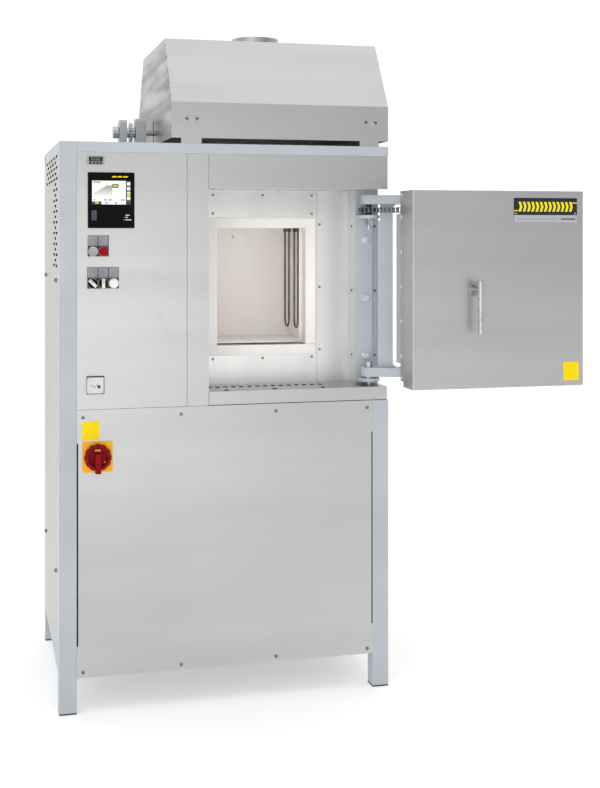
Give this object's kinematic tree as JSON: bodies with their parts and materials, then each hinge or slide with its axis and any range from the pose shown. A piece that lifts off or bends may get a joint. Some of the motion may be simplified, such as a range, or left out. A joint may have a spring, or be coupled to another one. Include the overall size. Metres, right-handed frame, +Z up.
{
  "type": "front loading kiln",
  "caption": "Floor-standing front-loading laboratory and pottery kiln with an open parallel-swing insulated door, exhaust hood and control panel.",
  "frame": {"origin": "middle of the whole kiln's footprint with its door open as stored, on the floor", "axes": "+Z up, -Y towards the person who loads the kiln, +X to that person's right"},
  "size_m": [1.5442, 0.9998, 2.003],
  "materials": {
    "frame_paint": "semi-gloss light blue-grey powder coat",
    "foot_plastic": "matt dark plastic",
    "stainless": "brushed stainless sheet",
    "galvanised": "zinc coated sheet",
    "fire_brick": "matt white fibre insulation",
    "element_rod": "dark glazed disilicide rod",
    "strap_metal": "braided aluminium",
    "sheath_ceramic": "fired alumina",
    "core_steel": "varnished laminations",
    "controller_plastic": "black moulded plastic",
    "screen_glass": "clear cover glass",
    "meter_plastic": "black moulded plastic",
    "legend_plastic": "grey legend plate",
    "bezel_metal": "satin chrome",
    "lamp_plastic": "white lens",
    "switch_yellow": "orange yellow plastic",
    "switch_red": "red plastic",
    "flap_plastic": "dark grey plastic",
    "start_cap": "white cap",
    "stop_cap": "red cap",
    "selector_black": "black knob with a pale mark",
    "machined_steel": "turned steel",
    "screw_steel": "stainless fastener",
    "black_steel": "black oxide",
    "chain_steel": "oiled roller chain",
    "plate_dark": "printed aluminium plate"
  },
  "bodies": {
    "cabinet": {"frame_posts": "frame_paint", "frame_rails": "frame_paint", "foot_caps": "foot_plastic", "left_side_panel": "stainless", "right_side_panel": "stainless", "rear_panel": "stainless", "lower_front_panel": "stainless", "control_panel": "stainless", "front_fascias": "stainless", "recess_shelf": "stainless", "recess_panels": "stainless", "top_cover": "stainless", "base_plate": "galvanised", "collar_lining": "fire_brick", "chamber_lining": "fire_brick", "kiln_casing": "galvanised", "heating_elements": "element_rod", "element_straps": "strap_metal", "thermocouple": "sheath_ceramic", "transformer": "core_steel", "power_controller": "controller_plastic", "controller_case": "controller_plastic", "controller_screen": "screen_glass", "panel_meter": "meter_plastic", "legend_plates": "legend_plastic", "button_bezels": "bezel_metal", "indicator_lamp": "lamp_plastic", "main_switch_plate": "switch_yellow", "interface_frame": "meter_plastic", "hood_shell": "stainless", "duct_collar": "stainless", "hood_brackets": "stainless", "bearing_blocks": "frame_paint", "panel_screws": "screw_steel", "hinge_bracket": "frame_paint", "hinge_bolts": "screw_steel", "hinge_pins": "machined_steel", "fixed_sprocket": "black_steel"},
    "arm": {"upper_arm": "frame_paint", "lower_arm": "frame_paint", "arm_web": "frame_paint", "drive_chain": "chain_steel"},
    "door": {"door_front_shell": "stainless", "door_rear_frame": "stainless", "plug_casing": "frame_paint", "plug_insulation": "fire_brick", "door_sprocket": "black_steel", "handle_rosette": "bezel_metal", "name_plate": "plate_dark", "door_screws": "screw_steel"},
    "handle": {"door_handle": "machined_steel"},
    "main_knob": {"main_switch_knob": "switch_red"},
    "selector_left": {"left_selector": "selector_black"},
    "selector_right": {"right_selector": "selector_black"},
    "button_start": {"start_button": "start_cap"},
    "button_stop": {"stop_button": "stop_cap"},
    "socket_flap": {"interface_flap": "flap_plastic"},
    "port_cover": {"usb_cover": "flap_plastic"},
    "vent_drive": {"vent_shaft": "machined_steel", "vent_flap": "machined_steel"}
  },
  "joints": [
    {"name": "door_swing", "type": "hinge", "parent": "cabinet", "child": "arm", "pos_m": [0.17643, -0.20209, 1.2], "axis": [0, 0, 1], "range_deg": [-159.75, 20]},
    {"name": "door_swivel", "type": "hinge", "parent": "arm", "child": "door", "pos_m": [0.44757, -0.30211, 1.2], "axis": [0, 0, 1], "range_deg": [-20, 159.75]},
    {"name": "handle_turn", "type": "hinge", "parent": "door", "child": "handle", "pos_m": [0.42383, -0.46009, 1.2093], "axis": [0, 1, 0], "range_deg": [0, 90]},
    {"name": "main_switch_turn", "type": "hinge", "parent": "cabinet", "child": "main_knob", "pos_m": [-0.65657, -0.27009, 0.733], "axis": [0, 1, 0], "range_deg": [0, 90]},
    {"name": "left_selector_turn", "type": "hinge", "parent": "cabinet", "child": "selector_left", "pos_m": [-0.67057, -0.27009, 1.23], "axis": [0, 1, 0], "range_deg": [0, 90]},
    {"name": "right_selector_turn", "type": "hinge", "parent": "cabinet", "child": "selector_right", "pos_m": [-0.64057, -0.27009, 1.23], "axis": [0, 1, 0], "range_deg": [-45, 45]},
    {"name": "start_press", "type": "slide", "parent": "cabinet", "child": "button_start", "axis": [0, 1, 0], "range_m": [0, 0.004], "stiffness_N_per_m": 400},
    {"name": "stop_press", "type": "slide", "parent": "cabinet", "child": "button_stop", "axis": [0, 1, 0], "range_m": [0, 0.004], "stiffness_N_per_m": 400},
    {"name": "interface_flap_turn", "type": "hinge", "parent": "cabinet", "child": "socket_flap", "pos_m": [-0.68557, -0.27029, 0.938], "axis": [0, 0, -1], "range_deg": [0, 120]},
    {"name": "usb_cover_turn", "type": "hinge", "parent": "cabinet", "child": "port_cover", "pos_m": [-0.67357, -0.26809, 1.4245], "axis": [0, 0, -1], "range_deg": [0, 100]},
    {"name": "vent_flap_turn", "type": "hinge", "parent": "cabinet", "child": "vent_drive", "pos_m": [-0.27257, 0.12491, 1.6935], "axis": [1, 0, 0], "range_deg": [0, 60]}
  ],
  "couplings": [
    {"joint": "door_swivel", "follows": "door_swing", "ratio": -1}
  ]
}
